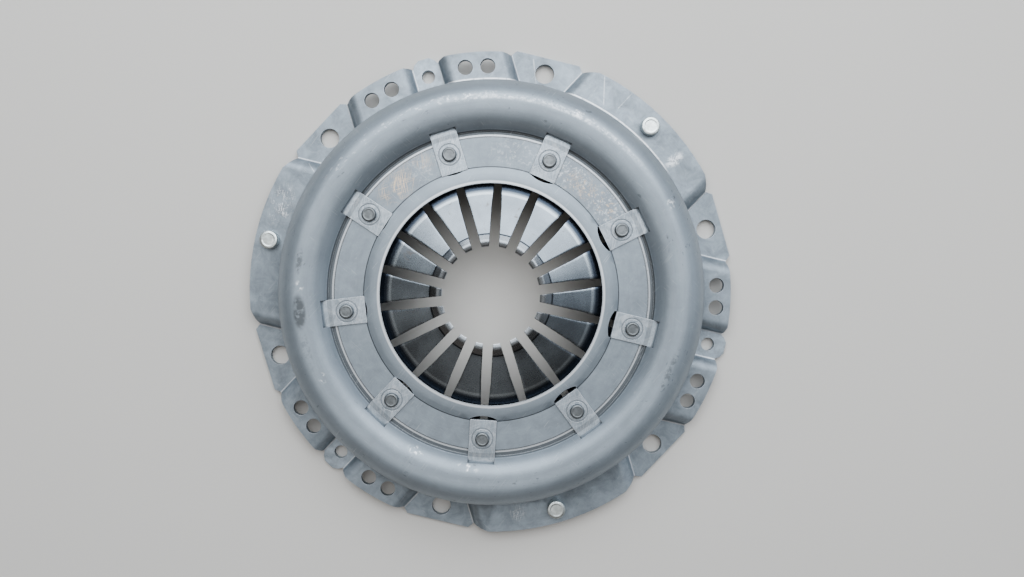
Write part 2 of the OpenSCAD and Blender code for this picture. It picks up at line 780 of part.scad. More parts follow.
cover();
diaphragm_spring();
pressure_plate();
wire_ring(front_ring_z);  // fulcrum_ring_front
wire_ring(rear_ring_z);  // fulcrum_ring_rear
fulcrum_rivet(1);  // fulcrum_rivet_1
fulcrum_rivet(2);  // fulcrum_rivet_2
fulcrum_rivet(3);  // fulcrum_rivet_3
fulcrum_rivet(4);  // fulcrum_rivet_4
fulcrum_rivet(5);  // fulcrum_rivet_5
fulcrum_rivet(6);  // fulcrum_rivet_6
fulcrum_rivet(7);  // fulcrum_rivet_7
fulcrum_rivet(8);  // fulcrum_rivet_8
fulcrum_rivet(9);  // fulcrum_rivet_9
strap_leaf(1, 0);  // strap_1_leaf_a
strap_leaf(1, 1);  // strap_1_leaf_b
strap_leaf(1, 2);  // strap_1_leaf_c
strap_leaf(2, 0);  // strap_2_leaf_a
strap_leaf(2, 1);  // strap_2_leaf_b
strap_leaf(2, 2);  // strap_2_leaf_c
strap_leaf(3, 0);  // strap_3_leaf_a
strap_leaf(3, 1);  // strap_3_leaf_b
strap_leaf(3, 2);  // strap_3_leaf_c
strap_flange_rivet(1);  // strap_flange_rivet_1
strap_flange_rivet(2);  // strap_flange_rivet_2
strap_flange_rivet(3);  // strap_flange_rivet_3
strap_lug_rivet(1);  // strap_lug_rivet_1
strap_lug_rivet(2);  // strap_lug_rivet_2
strap_lug_rivet(3);  // strap_lug_rivet_3
retractor_clip(1);  // retractor_clip_1
retractor_clip(2);  // retractor_clip_2
retractor_clip(3);  // retractor_clip_3
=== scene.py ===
"""Looks of a clutch pressure plate, laid out as an add-on: an operator for each group of pieces and the stage."""

import math

import bmesh
import bpy
from mathutils import Matrix, Vector, noise


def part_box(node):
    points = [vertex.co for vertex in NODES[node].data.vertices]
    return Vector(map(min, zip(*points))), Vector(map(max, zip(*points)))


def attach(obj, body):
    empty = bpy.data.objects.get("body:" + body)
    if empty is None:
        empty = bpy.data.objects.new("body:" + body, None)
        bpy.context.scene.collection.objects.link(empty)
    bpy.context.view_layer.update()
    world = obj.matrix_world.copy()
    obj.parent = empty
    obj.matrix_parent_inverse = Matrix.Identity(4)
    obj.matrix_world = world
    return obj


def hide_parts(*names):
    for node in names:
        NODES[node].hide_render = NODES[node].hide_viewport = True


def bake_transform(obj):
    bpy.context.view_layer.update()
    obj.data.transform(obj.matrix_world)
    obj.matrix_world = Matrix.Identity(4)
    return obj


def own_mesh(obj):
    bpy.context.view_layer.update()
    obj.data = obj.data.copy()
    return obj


bl_info = {
    "name": "Clutch pressure plate",
    "version": (1, 0, 0),
    "blender": (4, 5, 0),
    "location": "3D View > Sidebar > Clutch plate",
    "description": "Makes the fine pieces, finishes and stage of a clutch pressure plate around its CAD frame",
    "category": "Object",
}

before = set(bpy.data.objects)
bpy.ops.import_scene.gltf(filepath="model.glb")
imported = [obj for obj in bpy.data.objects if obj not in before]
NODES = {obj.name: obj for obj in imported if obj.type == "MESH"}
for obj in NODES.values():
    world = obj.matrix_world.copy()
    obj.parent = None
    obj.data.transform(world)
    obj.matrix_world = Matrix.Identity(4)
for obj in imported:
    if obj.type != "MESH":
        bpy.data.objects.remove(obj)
COVER_BODY = "cover_assembly"
MM = 0.001


# -------------------- settings


def length(label, text, millimetres):
    return bpy.props.FloatProperty(name=label, description=text, default=millimetres * MM, unit="LENGTH", precision=5)


def angle(label, text, degrees):
    return bpy.props.FloatProperty(name=label, description=text, default=math.radians(degrees), unit="ROTATION")


def share(label, text, value):
    return bpy.props.FloatProperty(name=label, description=text, default=value, min=0, max=1, subtype="FACTOR")


def colour(label, text, value):
    return bpy.props.FloatVectorProperty(name=label, description=text, default=value, size=3, min=0, max=1,
                                         subtype="COLOR")


class SpringSizes(bpy.types.PropertyGroup):
    """Sizes of the diaphragm spring"""

    thickness: length("Thickness", "Thickness of the spring steel", 2.2)
    cone: angle("Cone", "Cone angle of the unloaded spring", 12.5)
    rim_radius: length("Rim radius", "Outside radius of the spring", 86.5)
    kink_radius: length("Kink radius", "Radius of the bend near the fingertips", 27.1)
    crest_radius: length("Crest radius", "Radius of the fingertips' crest", 24)
    tip_radius: length("Tip radius", "Radius that the fingertips leave open", 21.6)
    crest_rise: length("Crest rise", "Rise of a fingertip's crest above its bend", 1.7)
    tip_drop: length("Tip drop", "Drop from the crest to the fingertip's end", 0.5)
    tip_slot: length("Slot at the tips", "Width of the slots at the fingertips", 4.4)
    root_slot: length("Slot at the root", "Width of the slots under the cover", 3.5)
    slot_wide: length("Wide to", "Radius where the slots begin to narrow", 40)
    slot_narrow: length("Narrow from", "Radius where the slots reach their narrow width", 49)
    eye_width: length("Eye width", "Width of the window at a slot's end", 8.4)
    eye_length: length("Eye length", "Length of the window at a slot's end", 11.4)
    eye_radius: length("Eye place", "Radius of the middle of a slot's window", 66.3)
    ring_radius: length("Ring radius", "Radius of the fulcrum rings", 69)
    ring_top: length("Height at the ring", "Height of the spring's front face at the fulcrum rings", 20.123)
    fingers: bpy.props.IntProperty(name="Fingers", description="Number of fingers", default=18, min=6, max=30)
    first_slot: angle("First slot", "Angle of the first slot from +X", 26.4)


class StrapSizes(bpy.types.PropertyGroup):
    """Sizes of the drive straps"""

    leaf: length("Leaf thickness", "Thickness of one leaf", 0.5)
    width: length("Leaf width", "Width of a leaf", 9)
    outer_radius: length("Flange rivet radius", "Radius of the strap rivets in the flange", 106.8)
    inner_radius: length("Lug rivet radius", "Radius of the strap rivets in the lugs", 88.6)
    turn: angle("Turn", "Angle from a strap's flange rivet to its lug rivet", 19.8)
    first: angle("First strap", "Angle of the first flange rivet from +X", 46.4)
    high: length("Flange seat", "Height of the flange's underside", 5.7)
    low: length("Lug seat", "Height of the lug's underside", 7.4)
    inside: length("Skirt clearance", "Radius that a strap keeps to inside the skirt", 93.6)
    neck: length("Neck", "Length over which a strap narrows before its step", 8)
    step_start: length("Step start", "Distance from a lug rivet at which a strap's step begins", 10.5)
    step_end: length("Step end", "Distance from a lug rivet at which a strap's step ends", 3.9)
    gap: length("Leaf gap", "Gap between two leaves of a pack", 0.01)


class RivetSizes(bpy.types.PropertyGroup):
    """Sizes of the rivets that show"""

    fulcrum_circle: length("Fulcrum circle", "Radius of the circle of fulcrum rivets", 65)
    first_fulcrum: angle("First fulcrum rivet", "Angle of the first fulcrum rivet from +X", 26.4)
    fulcrum_head: length("Fulcrum head", "Diameter of a fulcrum rivet's front head", 6.4)
    strap_head: length("Strap head", "Diameter of a strap rivet's heads", 8.6)
    hammered: length("Hammered", "Unevenness of the closed heads", 0.04)


class Finishes(bpy.types.PropertyGroup):
    """Colours and wear of the finishes"""

    cover: colour("Cover", "Grey of the pressed steel cover", (0.284, 0.324, 0.362))
    # this colour also paints the shade in the cover's folds, crevices and mouth
    cover_dark: colour("Cover smudges", "Colour of grime and smudges on the cover", (0.045, 0.042, 0.038))
    # this colour also paints highlights on the cover's crown, bends, mouth and web and on the spring's fingertips
    bare: colour("Bare steel", "Colour where the cover's finish is worn through", (0.78, 0.80, 0.82))
    copper: colour("Warm scratches", "Colour of the warm scratches in the web", (0.80, 0.62, 0.44))
    spring: colour("Spring", "Colour of the blued spring steel", (0.20, 0.225, 0.25))
    # partly the colour of a painted shadow of the lip on the spring, over a real dark band
    spring_band_and_shadow: colour("Spring band", "Colour of the dark band beside the mouth", (0.02, 0.028, 0.045))
    rivet: colour("Rivets", "Colour of the fulcrum rivets", (0.22, 0.235, 0.245))
    zinc: colour("Strap rivets", "Colour of the zinc-plated strap rivets", (0.70, 0.75, 0.75))
    iron: colour("Plate", "Colour of the turned grey iron", (0.30, 0.29, 0.28))
    strip: colour("Straps", "Colour of the spring strip", (0.35, 0.36, 0.38))
    scratches: share("Scratches", "Strength of the scratches", 0.8)
    # this strength also sets the painted shade in the cover's folds, crevices and mouth
    grime_and_shade: share("Grime", "Strength of smudges and grime", 0.7)


class StageSettings(bpy.types.PropertyGroup):
    """Floor, lights and camera"""

    floor: colour("Floor", "Colour of the plain floor", (0.66, 0.64, 0.61))
    floor_size: length("Floor size", "Side of the floor", 4000)
    key: bpy.props.FloatProperty(name="Key light", description="Power of the large soft light", default=10, min=0,
                                 unit="POWER")
    fill: bpy.props.FloatProperty(name="Fill light", description="Power of the front light", default=2, min=0,
                                  unit="POWER")
    lens: bpy.props.FloatProperty(name="Lens", description="Focal length of the camera", default=28.125, min=1,
                                  unit="CAMERA")


# -------------------- shapes


def polar(turn, radius, z=0.0):
    return Vector((radius * math.cos(turn), radius * math.sin(turn), z))


def rounded_line(corners, step=math.radians(6)):
    """Points along a bent line; each corner is (x, y, bend radius)."""
    points = [Vector(corners[0][:2])]
    for before, (x, y, radius), after in zip(corners, corners[1:], corners[2:]):
        corner = Vector((x, y))
        come = (corner - Vector(before[:2])).normalized()
        leave = (Vector(after[:2]) - corner).normalized()
        turn = come.angle(leave)
        if radius <= 0 or turn < 0.01:
            points.append(corner)
            continue
        side = 1 if come.cross(leave) > 0 else -1
        start = corner - come * radius * math.tan(turn / 2)
        centre = start + Vector((-come.y, come.x)) * side * radius
        count = max(2, math.ceil(turn / step))
        first = math.atan2(start.y - centre.y, start.x - centre.x)
        for i in range(count + 1):
            t = first + side * turn * i / count
            points.append(centre + Vector((math.cos(t), math.sin(t))) * radius)
    points.append(Vector(corners[-1][:2]))
    return points


def finished_object(name, bm, material, sharp=math.radians(40), bevel=0.0):
    """An object from bm with smooth shading up to the sharp angle, and its sharp edges rounded by bevel."""
    bmesh.ops.remove_doubles(bm, verts=bm.verts, dist=1e-6)
    bmesh.ops.recalc_face_normals(bm, faces=bm.faces)
    if bevel:
        edges = [e for e in bm.edges if e.is_manifold and e.calc_face_angle() > sharp]
        bmesh.ops.bevel(bm, geom=edges, offset=bevel, segments=2, profile=0.5, affect="EDGES", clamp_overlap=True)
    for face in bm.faces:
        face.smooth = True
    for edge in bm.edges:
        edge.smooth = edge.is_manifold and edge.calc_face_angle() < sharp
    mesh = bpy.data.meshes.new(name)
    bm.to_mesh(mesh)
    bm.free()
    mesh.materials.append(material)
    piece = bpy.data.objects.new(name, mesh)
    bpy.context.scene.collection.objects.link(piece)
    return piece


def lathe(bm, profile, segments=64):
    """Turns a closed profile of (radius, z) points about Z; points at radius 0 become one vertex."""
    rings = []
    for radius, z in profile:
        if radius < 1e-7:
            rings.append([bm.verts.new((0, 0, z))])
        else:
            rings.append([bm.verts.new(polar(2 * math.pi * k / segments, radius, z)) for k in range(segments)])
    for a, b in zip(rings, rings[1:]):
        for k in range(segments):
            n = (k + 1) % segments
            if len(a) == 1:
                bm.faces.new((a[0], b[n], b[k]))
            elif len(b) == 1:
                bm.faces.new((a[k], a[n], b[0]))
            else:
                bm.faces.new((a[k], a[n], b[n], b[k]))


def soften_lip(bm):
    """Moves the front of the cover's lip to the low crowned shape of the real one, highest near the mouth."""
    web, step, mouth_crest, outer = 26 * MM, 0.5 * MM, 50.8 * MM, 57.3 * MM
    built = rounded_line([(0.0600, web, 0), (outer, web, 0.0016), (0.0531, 0.0288, 0.0036), (0.0497, 0.0279, 0)])
    for vertex in bm.verts:
        radius = math.hypot(vertex.co.x, vertex.co.y)
        if radius > outer + 0.0004:
            continue
        for a, b in zip(built, built[1:]):
            if b.x <= radius + 1e-6 <= a.x + 2e-6:
                part = (a.x - radius) / max(1e-9, a.x - b.x)
                now = a.y + (b.y - a.y) * part
                if abs(vertex.co.z - now) < 0.0003:
                    reach = max(0, min(1, (outer - radius) / (0.7 * MM)))
                    rise = max(0, 1 - (max(0, radius - mouth_crest) / (outer - mouth_crest)) ** 2)
                    vertex.co.z = web + step * reach * reach * (3 - 2 * reach) + 0.9 * MM * rise
                break


def lean_crown(bm):
    """Moves the top of the cover's crown a little outwards: its inner half lies lower, its outer half higher."""
    inner, outer, lean, foot = 75.8 * MM, 96 * MM, 0.21 * MM, 22 * MM
    for vertex in bm.verts:
        part = (math.hypot(vertex.co.x, vertex.co.y) - inner) / (outer - inner)
        if 0 < part < 1 and vertex.co.z > foot:
            swing = 2 * math.pi * part
            vertex.co.z -= lean * math.sin(swing) * (1 - math.cos(swing))


def smooth_copy(node, name, material, sharp, *reshapes):
    """A copy of a CAD node's mesh whose bends are shaded as one smooth surface."""
    bm = bmesh.new()
    bm.from_mesh(NODES[node].data)
    for reshape in reshapes:
        reshape(bm)
    return finished_object(name, bm, material, sharp)


# -------------------- finishes


class Finish:
    """A procedural material, written as short calls that return sockets."""

    def __init__(self, name, **constants):
        self.material = bpy.data.materials.new(name)
        self.material.use_nodes = True
        self.tree = self.material.node_tree
        self.tree.nodes.clear()
        self.shader = self.tree.nodes.new("ShaderNodeBsdfPrincipled")
        output = self.tree.nodes.new("ShaderNodeOutputMaterial")
        self.tree.links.new(self.shader.outputs[0], output.inputs[0])
        self.place = self.tree.nodes.new("ShaderNodeTexCoord").outputs["Object"]
        for socket, value in constants.items():
            self.shader.inputs[socket.replace("_", " ").title().replace("Ior", "IOR")].default_value = value

    def put(self, socket, value):
        if isinstance(value, bpy.types.NodeSocket):
            self.tree.links.new(value, socket)
        elif hasattr(value, "__len__") and socket.type == "RGBA" and len(value) == 3:
            socket.default_value = (*value, 1)
        else:
            socket.default_value = value

    def node(self, kind, inputs=None, out=0, **options):
        made = self.tree.nodes.new(kind)
        for option, value in options.items():
            setattr(made, option, value)
        for key, value in (inputs or {}).items():
            self.put(made.inputs[key], value)
        return made.outputs[out]

    def math(self, operation, a, b=0.0, clamp=False):
        return self.node("ShaderNodeMath", {0: a, 1: b}, operation=operation, use_clamp=clamp)

    def add(self, *values):
        total = values[0]
        for value in values[1:]:
            total = self.math("ADD", total, value)
        return total

    def centred(self, value, strength):
        """A 0..1 texture moved to lie round 0, times a strength."""
        return self.times(self.add(value, -0.5), strength)

    def times(self, *values):
        total = values[0]
        for value in values[1:]:
            total = self.math("MULTIPLY", total, value)
        return total

    def weighted(self, *parts):
        """The sum of values, each (value, weight)."""
        return self.add(*(self.times(value, weight) for value, weight in parts))

    def strongest(self, *parts):
        """The largest of masks, each (mask, strength)."""
        return self.largest(*(self.times(mask, strength) for mask, strength in parts))

    def over(self, base, *layers):
        """Colours laid over a base in turn, each (mask, strength, colour)."""
        for mask, strength, tint in layers:
            base = self.mix(self.times(mask, strength), base, tint)
        return base

    def vector_math(self, operation, a, b=(0, 0, 0), out=0):
        return self.node("ShaderNodeVectorMath", {0: a, 1: b}, out=out, operation=operation)

    def range(self, value, low, high, to_low=0.0, to_high=1.0):
        """value moved from low..high to to_low..to_high, smoothly and clamped."""
        return self.node("ShaderNodeMapRange", {0: value, 1: low, 2: high, 3: to_low, 4: to_high},
                         interpolation_type="SMOOTHSTEP")

    def window(self, value, low, high, soft):
        """1 where value lies between low and high, with edges of width soft."""
        return self.times(self.range(value, low - soft, low), self.range(value, high, high + soft, 1.0, 0.0))

    def mix(self, factor, a, b, blend="MIX"):
        mixed = self.tree.nodes.new("ShaderNodeMix")
        mixed.data_type = "RGBA"
        mixed.blend_type = blend
        self.put(mixed.inputs[0], factor)
        self.put(mixed.inputs[6], a)
        self.put(mixed.inputs[7], b)
        return mixed.outputs[2]

    def noise(self, scale, detail=2.0, rough=0.5, vector=None, warp=0.0):
        return self.node("ShaderNodeTexNoise", {"Vector": vector or self.place, "Scale": scale, "Detail": detail,
                                                "Roughness": rough, "Distortion": warp})

    def stretched(self, turn, along, across, seed=0.0):
        """Object coordinates scaled finely across and coarsely along a direction in the XY plane."""
        turned = self.node("ShaderNodeMapping", {"Vector": self.place, "Rotation": (0, 0, -turn)})
        moved = self.vector_math("ADD", turned, (seed, seed * 0.37, 0))
        return self.vector_math("MULTIPLY", moved, (1 / along, 1 / across, 60))

    def scratch_lines(self, turn, along=0.012, across=0.0005, rare=0.66, seed=0.0):
        """Straight fine lines in one direction, as a mask."""
        lines = self.noise(1, 1, 0.4, self.stretched(turn, along, across, seed))
        return self.range(lines, rare, rare + 0.05)

    def polar_place(self):
        """Radius in metres, angle in radians and height of the shaded point."""
        x, y, z = (self.node("ShaderNodeSeparateXYZ", {0: self.place}, out=k) for k in range(3))
        radius = self.math("SQRT", self.math("ADD", self.times(x, x), self.times(y, y)))
        return radius, self.math("ARCTAN2", y, x), z

    def patch(self, turn, radius, along, across, soft=0.5):
        """A soft oval patch round a place given by its angle in degrees and radius, as a mask."""
        here = self.vector_math("SUBTRACT", self.place, tuple(polar(math.radians(turn), radius)))
        turned = self.node("ShaderNodeMapping", {"Vector": here, "Rotation": (0, 0, -math.radians(turn + 90))})
        flat = self.vector_math("MULTIPLY", turned, (1 / along, 1 / across, 0))
        size = self.vector_math("LENGTH", flat, out=1)
        return self.range(size, 1 - soft, 1 + soft, 1.0, 0.0)

    def one_scratch(self, start, end, width):
        """A single straight scratch between two (x, y) points in millimetres, as a mask."""
        begin, reach = Vector((*start, 0)) * MM, (Vector((*end, 0)) - Vector((*start, 0))) * MM
        flat = self.vector_math("MULTIPLY", self.place, (1, 1, 0))
        here = self.vector_math("SUBTRACT", flat, tuple(begin))
        along = self.vector_math("DOT_PRODUCT", here, tuple(reach / reach.length_squared), out=1)
        part = self.math("MULTIPLY", along, 1.0, clamp=True)
        nearest = self.node("ShaderNodeVectorMath", {0: tuple(reach), 3: part}, operation="SCALE")
        off = self.vector_math("DISTANCE", here, nearest, out=1)
        return self.range(off, width * 0.9, width * 0.3)

    def largest(self, *masks):
        total = masks[0]
        for mask in masks[1:]:
            total = self.math("MAXIMUM", total, mask)
        return total

    def rough_edges(self, radius=0.0005):
        """How much the surface turns within a small distance: 0 on flats, 1 on edges."""
        near = self.node("ShaderNodeBevel", {"Radius": radius}, samples=4)
        plain = self.node("ShaderNodeNewGeometry", out=1)
        return self.range(self.vector_math("DOT_PRODUCT", near, plain, out=1), 0.99, 0.85)

    def open_air(self, reach):
        """1 where the surface stands free, less in its corners and crevices."""
        return self.node("ShaderNodeAmbientOcclusion", {"Distance": reach}, out=1, samples=8, only_local=True)

    def bump(self, height, strength, distance, normal=None):
        inputs = {"Height": height, "Strength": strength, "Distance": distance}
        if normal is not None:
            inputs["Normal"] = normal
        return self.node("ShaderNodeBump", inputs)

    def finish(self, base, roughness, normal=None, metallic=None):
        self.put(self.shader.inputs["Base Color"], base)
        self.put(self.shader.inputs["Roughness"], roughness)
        if normal is not None:
            self.put(self.shader.inputs["Normal"], normal)
        if metallic is not None:
            self.put(self.shader.inputs["Metallic"], metallic)
        return self.material


METALLIC, SKIRT_METALLIC = 0.58, 0.36  # the second is added on the skirt, which the die has burnished
ROUGHNESS = 0.44


class CoverFinish(Finish):
    """The cover's finish, with its textures and the masks of its parts"""

    def __init__(self, look):
        super().__init__("cover_steel", metallic=METALLIC)
        self.look = look
        self.radius, self.turn, self.z = self.polar_place()
        self.rings = self.noise(1, 2, 0.5, self.around(1400, 9, self.times(self.z, 1400)))
        self.streak = self.noise(1, 3, 0.6, self.around(800, 26, 3.0))
        self.cloud = self.noise(38, 3, 0.55)
        self.grain = self.noise(2600, 2, 0.6)
        self.patches = self.noise(110, 3, 0.6, warp=0.6)
        self.spots = self.noise(420, 3, 0.65)
        self.free = self.open_air(0.004)
        self.strokes = self.largest(*(self.scratch_lines(*line) for line in (
            (1.35, 0.008, 0.00024, 0.60, 0.2), (1.75, 0.006, 0.00022, 0.60, 0.9), (0.35, 0.009, 0.00022, 0.62, 0.6))))
        # masks of the groove with the web, the flange, the tabs, the strap pads and the skirt
        self.low = self.range(self.z, 0.0266, 0.0263)
        self.web = self.times(self.ring(0.0575, 0.0705, 0.001), self.low)
        self.flange = self.range(self.z, 0.0098, 0.0088)
        self.tab = self.times(self.ring(0.0564, 0.0752, 0.0003), self.window(self.z, 0.02692, 0.02712, 0.00004))
        pads = (self.patch(106.4 + 120 * k, 0.106, 0.0075, 0.009, 0.15) for k in range(3))
        self.pad = self.times(self.largest(*pads), self.range(self.z, 0.0040, 0.0030))
        self.skirt = self.times(self.ring(0.0955, 0.0980, 0.0004), self.range(self.z, 0.0240, 0.0190),
                                self.range(self.z, 0.0088, 0.0100))

    def around(self, per_radius, per_turn, third):
        """A texture place that runs round the part, finely across and coarsely along."""
        across, along = self.times(self.radius, per_radius), self.times(self.turn, per_turn)
        return self.node("ShaderNodeCombineXYZ", {0: across, 1: along, 2: third})

    def ring(self, inner, outer, soft):
        return self.window(self.radius, inner, outer, soft)

    def spotted(self, low, high, *at_ends):
        return self.range(self.spots, low, high, *at_ends)

    def places(self, *places):
        """Soft oval patches together, each (angle in degrees, radius, length, width, strength)."""
        return self.strongest(*((self.patch(*place), strength) for *place, strength in places))


def web_glints(f):
    """Painted glints on small grains in the web at the upper right and top, and warm stains there."""
    spangle = f.places((57, 0.064, 0.010, 0.0065, 1), (36, 0.064, 0.011, 0.0065, 1),
                       (78, 0.064, 0.012, 0.006, 0.6), (118, 0.064, 0.008, 0.006, 0.5))
    sparkle = f.times(spangle, f.web, f.range(f.noise(900, 3, 0.7), 0.50, 0.62), f.spotted(0.42, 0.56))
    stains = f.places((52, 0.0625, 0.009, 0.004, 1), (40, 0.0645, 0.008, 0.0045, 1))
    amber = f.times(stains, f.range(f.noise(520, 3, 0.7), 0.56, 0.64), f.web)
    return sparkle, amber


def warm_scratches(f):
    """Crossed scratches in the web that show warm metal."""
    hit = f.places((131, 0.064, 0.008, 0.0055, 1), (121, 0.0655, 0.008, 0.0045, 0.7), (50, 0.064, 0.006, 0.005, 0.6))
    return f.times(hit, f.strokes, f.range(f.patches, 0.36, 0.52), f.web)


def long_scratches(f):
    """Long fine scratches in two directions, here and there on the whole cover."""
    lines = f.largest(
        f.times(f.scratch_lines(0.9, 0.014, 0.0003, 0.66, 0.1), f.range(f.patches, 0.52, 0.60)),
        f.times(f.scratch_lines(2.4, 0.010, 0.0003, 0.66, 0.3), f.range(f.patches, 0.46, 0.38)))
    return f.times(lines, f.look.scratches)


def single_scratches(f):
    """The few scratches that stand alone on the crown and flange."""
    scratches = f.largest(*(f.one_scratch(*line) for line in (
        ((52.6, 101.9), (52.1, 87.8), 0.0004), ((65.3, 92.8), (59.0, 86.1), 0.0003),
        ((19.6, 110), (20.9, 97), 0.0004), ((-86, 61), (-81, 54), 0.0003))))
    return f.times(scratches, f.spotted(0.35, 0.6, 0.1, 0.5))


def rubbed_places(f):
    """Places on the flange that a tool or stop has rubbed to the bare steel."""
    press = f.places((157, 0.107, 0.008, 0.005, 1), (276.5, 0.1052, 0.0035, 0.0035, 0.8))
    rubbed = f.times(press, f.largest(f.strokes, f.spotted(0.58, 0.68)), f.range(f.noise(260, 2, 0.6), 0.40, 0.55))
    dent = f.times(f.patch(36, 0.1054, 0.0023, 0.0044, 0.4), f.range(f.noise(340, 4, 0.75, warp=0.5), 0.40, 0.54))
    return f.largest(rubbed, f.times(dent, 0.85))


def crown_specks_and_highlight(f):
    """A painted highlight along the crown's top on its upper side, broken into bright specks, and bright specks in a
    few places beside it.
    """
    # the painted highlight along the crown's top, on the upper side
    top = f.times(f.ring(0.0868, 0.0878, 0.0011), f.range(f.noise(620, 3, 0.7), 0.38, 0.60),
                  f.window(f.turn, 0.90, 1.60, 0.30), f.range(f.streak, 0.34, 0.58, 0.2, 1.0), 0.85)
    left = f.times(f.ring(0.0865, 0.0890, 0.001), f.window(f.turn, 1.6, 2.4, 0.2), f.range(f.streak, 0.56, 0.66), 0.7)
    beside = f.places(*((*place, 0.0016, 1) for place in (
        (244, 0.077, 0.003), (262, 0.078, 0.004), (206, 0.083, 0.002), (96, 0.0875, 0.012), (66, 0.088, 0.009),
        (177, 0.0845, 0.002), (27, 0.089, 0.002))))
    return f.largest(f.times(f.largest(top, left), 0.75), f.times(beside, f.spotted(0.50, 0.60)))


def step_highlights(f):
    """Painted highlights: bright lines at the skirt's foot on its upper side and along the flange's bends."""
    # painted highlight at the skirt's foot, then one along the flange's bends
    foot = f.times(f.ring(0.0996, 0.1001, 0.0002), f.range(f.z, 0.0092, 0.0090), f.window(f.turn, 0.66, 1.80, 0.08),
                   f.spotted(0.30, 0.45, 0.4, 1.0))
    bend = f.times(f.window(f.z, 0.00281, 0.0035, 0.00001), f.range(f.radius, 0.0975, 0.098),
                   f.range(f.cloud, 0.25, 0.6, 0.4, 1.0))
    return foot, bend


def cover_smudges(f):
    """Dark smudges and rubbed marks on the crown and at the skirt's foot."""
    streaks = f.times(f.range(f.streak, 0.60, 0.70), f.range(f.patches, 0.50, 0.64), f.ring(0.080, 0.0955, 0.002), 0.7)
    marks = f.times(f.range(f.noise(190, 2, 0.5, warp=0.4), 0.735, 0.76), f.ring(0.076, 0.096, 0.002), 0.45)
    rubbed = (((184.9, 0.0848, 0.0072, 0.0026, 0.3), (0.34, 0.54, 0.35, 1.0), 0.95),
              ((170, 0.0855, 0.005, 0.0012), (0.40, 0.56), 0.7), ((196, 0.085, 0.010, 0.0018), (0.46, 0.62), 0.35),
              ((336, 0.086, 0.012, 0.0014), (0.48, 0.62), 0.6))
    at_foot = f.times(f.patch(270, 0.099, 0.020, 0.0014), f.range(f.noise(260, 3, 0.6), 0.40, 0.55))
    return f.largest(streaks, marks, at_foot, *(
        f.times(f.patch(*place), f.spotted(*spots), strength) for place, spots, strength in rubbed))


def painted_fold_shade(f):
    """Painted shade: dark lines in the sheet's folds and creases, and the shaded foot of the skirt."""
    folds = (
        (0.0702, 0.0706, 0.00015, f.low, 0.9),
        (0.0716, 0.0734, 0.0002, f.range(f.z, 0.0272, 0.0268), 0.85),
        (0.0570, 0.0574, 0.0001, f.low, 0.9),
        (0.0967, 0.0980, 0.0004, 1, f.range(f.cloud, 0.2, 0.6, 0.45, 0.9)),
        (0.0955, 0.0985, 0.0003, f.range(f.z, 0.022, 0.014), 0.8))
    return f.largest(*(f.times(f.ring(*edges), where, strength) for *edges, where, strength in folds))


def cover_tone(f):
    """How much lighter or darker than the plain grey each point is."""
    uneven = f.weighted((f.flange, 1.1), (f.tab, 1.1), (f.web, 0.40))
    return f.add(
        f.range(f.cloud, 0.3, 0.7, -0.06, 0.06), f.centred(f.rings, 0.16), f.centred(f.grain, 0.16),
        f.centred(f.noise(150, 4, 0.7, warp=0.5), f.add(uneven, 0.12)),
        f.centred(f.spots, f.add(f.times(f.pad, 0.9), 0.12)),
        f.times(f.ring(0.0738, 0.0752, 0.0030), f.range(f.z, 0.0262, 0.0270), 0.10),
        # the ring from 84.5 to 89.5 mm is lighter as a painted highlight along the crown's top
        f.weighted((f.tab, 0.18), (f.pad, 0.25), (f.flange, 0.04), (f.ring(0.0845, 0.0895, 0.003), 0.12)))


